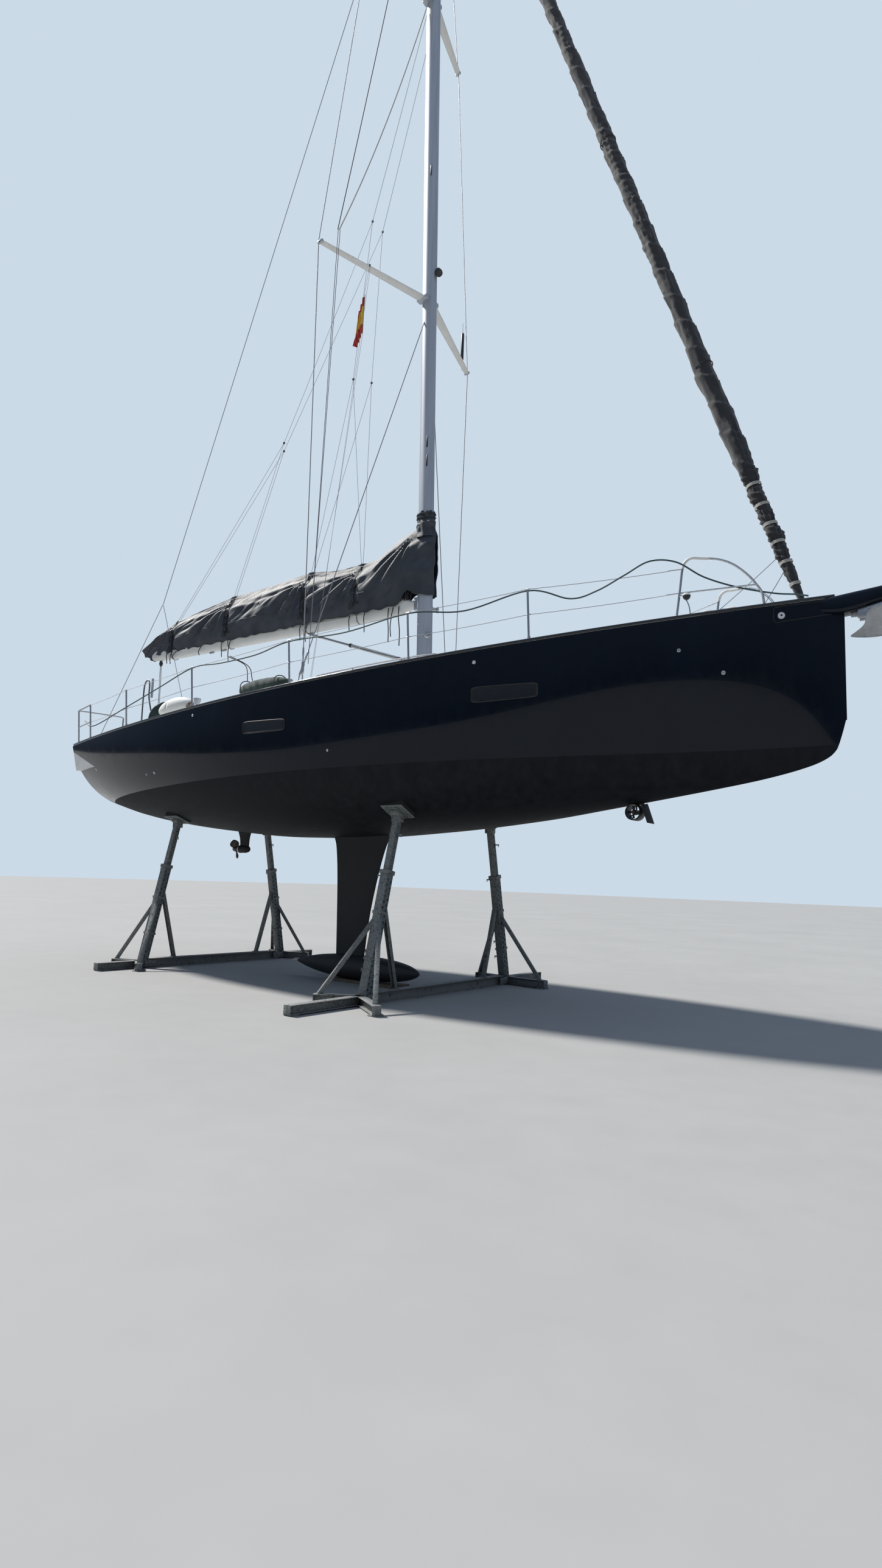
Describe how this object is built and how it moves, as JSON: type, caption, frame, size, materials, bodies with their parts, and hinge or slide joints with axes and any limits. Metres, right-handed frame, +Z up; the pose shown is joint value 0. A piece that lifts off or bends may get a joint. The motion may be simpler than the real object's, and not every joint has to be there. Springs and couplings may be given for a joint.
{
  "type": "sailing yacht on a cradle",
  "caption": "Cruising sailing yacht with fin keel and bulb, bowsprit, covered mainsail on its boom and furled headsail, laid up ashore on a steel cradle.",
  "frame": {"origin": "on the ground, under the middle of the overall length and on the centre line", "axes": "+X to the bow, +Y to port, +Z up"},
  "size_m": [13.2, 5.29, 20.9],
  "materials": {
    "topside_paint": "gloss black",
    "deck_gelcoat": "satin off-white",
    "bottom_paint": "matte charcoal",
    "mast_alloy": "satin",
    "white_spar_paint": "satin white",
    "rigging_wire": "bright wire",
    "stainless": "polished",
    "cover_cloth": "woven acrylic",
    "hatch_dark": "smoked",
    "thruster_plastic": "matte",
    "propeller_bronze": "dull",
    "anchor_zinc": "galvanised",
    "cradle_paint": "worn matte",
    "pad_wood": "rough"
  },
  "bodies": {
    "yacht": {"hull": "topside_paint", "bowsprit": "topside_paint", "deck": "deck_gelcoat", "coachroof": "deck_gelcoat", "helm_pedestal_starboard": "deck_gelcoat", "helm_pedestal_port": "deck_gelcoat", "keel_fin": "bottom_paint", "keel_bulb": "bottom_paint", "saildrive": "bottom_paint", "mast": "mast_alloy", "mast_step": "mast_alloy", "boom_gooseneck": "mast_alloy", "spreader_lower_starboard": "white_spar_paint", "spreader_lower_port": "white_spar_paint", "spreader_upper_starboard": "white_spar_paint", "spreader_upper_port": "white_spar_paint", "backstay": "rigging_wire", "backstay_leg_starboard": "rigging_wire", "backstay_leg_port": "rigging_wire", "shroud_cap_low_starboard": "rigging_wire", "shroud_cap_low_port": "rigging_wire", "shroud_diagonal_low_starboard": "rigging_wire", "shroud_diagonal_low_port": "rigging_wire", "shroud_cap_mid_starboard": "rigging_wire", "shroud_cap_mid_port": "rigging_wire", "shroud_cap_top_starboard": "rigging_wire", "shroud_cap_top_port": "rigging_wire", "guard_rail_starboard": "stainless", "guard_rail_port": "stainless", "chainplate_starboard": "stainless", "chainplate_port": "stainless", "winch_base_starboard": "stainless", "winch_base_port": "stainless", "mast_cover": "cover_cloth", "furled_headsail": "cover_cloth", "bow_thruster": "thruster_plastic", "anchor": "anchor_zinc", "cradle_beam_forward": "cradle_paint", "cradle_beam_aft": "cradle_paint", "cradle_stand_forward_starboard": "cradle_paint", "cradle_stand_forward_port": "cradle_paint", "cradle_stand_aft_starboard": "cradle_paint", "cradle_stand_aft_port": "cradle_paint", "keel_board": "pad_wood", "cradle_pad_forward_starboard": "pad_wood", "cradle_pad_forward_port": "pad_wood", "cradle_pad_aft_starboard": "pad_wood", "cradle_pad_aft_port": "pad_wood"},
    "boom_group": {"boom": "white_spar_paint", "boom_cover": "cover_cloth", "vang": "white_spar_paint"},
    "propeller": {"propeller": "propeller_bronze"},
    "thruster_propeller": {"thruster_propeller": "thruster_plastic"},
    "wheel_starboard": {"steering_wheel_starboard": "stainless"},
    "wheel_port": {"steering_wheel_port": "stainless"},
    "companionway_hatch": {"companionway_hatch": "hatch_dark"},
    "fore_hatch": {"fore_hatch": "hatch_dark"},
    "winch_starboard": {"winch_starboard": "stainless"},
    "winch_port": {"winch_port": "stainless"}
  },
  "joints": [
    {"name": "boom_swing", "type": "hinge", "parent": "yacht", "child": "boom_group", "pos_m": [-0.05169, 0, 5.465], "axis": [0, 0, 1], "range_deg": [-62, 52]},
    {"name": "propeller_spin", "type": "hinge", "parent": "yacht", "child": "propeller", "pos_m": [-3.7, 0, 1.89], "axis": [1, 0, 0], "continuous": true},
    {"name": "thruster_spin", "type": "hinge", "parent": "yacht", "child": "thruster_propeller", "pos_m": [3.35, -0.04, 2.345], "axis": [0, 1, 0], "continuous": true},
    {"name": "wheel_starboard_turn", "type": "hinge", "parent": "yacht", "child": "wheel_starboard", "pos_m": [-4.94, -0.62, 3.99], "axis": [1, 0, 0], "range_deg": [-300, 300]},
    {"name": "wheel_port_turn", "type": "hinge", "parent": "yacht", "child": "wheel_port", "pos_m": [-4.94, 0.62, 3.99], "axis": [1, 0, 0], "range_deg": [-300, 300]},
    {"name": "companionway_hatch_slide", "type": "slide", "parent": "yacht", "child": "companionway_hatch", "axis": [0.9984, 0, 0.0564], "range_m": [0, 0.58]},
    {"name": "fore_hatch_hinge", "type": "hinge", "parent": "yacht", "child": "fore_hatch", "pos_m": [3.23, 0, 4.31942], "axis": [0, 1, 0], "range_deg": [0, 95]},
    {"name": "winch_starboard_turn", "type": "hinge", "parent": "yacht", "child": "winch_starboard", "pos_m": [-3.7, -1.25, 3.9], "axis": [0, 0, 1], "continuous": true},
    {"name": "winch_port_turn", "type": "hinge", "parent": "yacht", "child": "winch_port", "pos_m": [-3.7, 1.25, 3.9], "axis": [0, 0, 1], "continuous": true}
  ],
  "couplings": [
    {"joint": "wheel_port_turn", "follows": "wheel_starboard_turn", "ratio": 1}
  ]
}
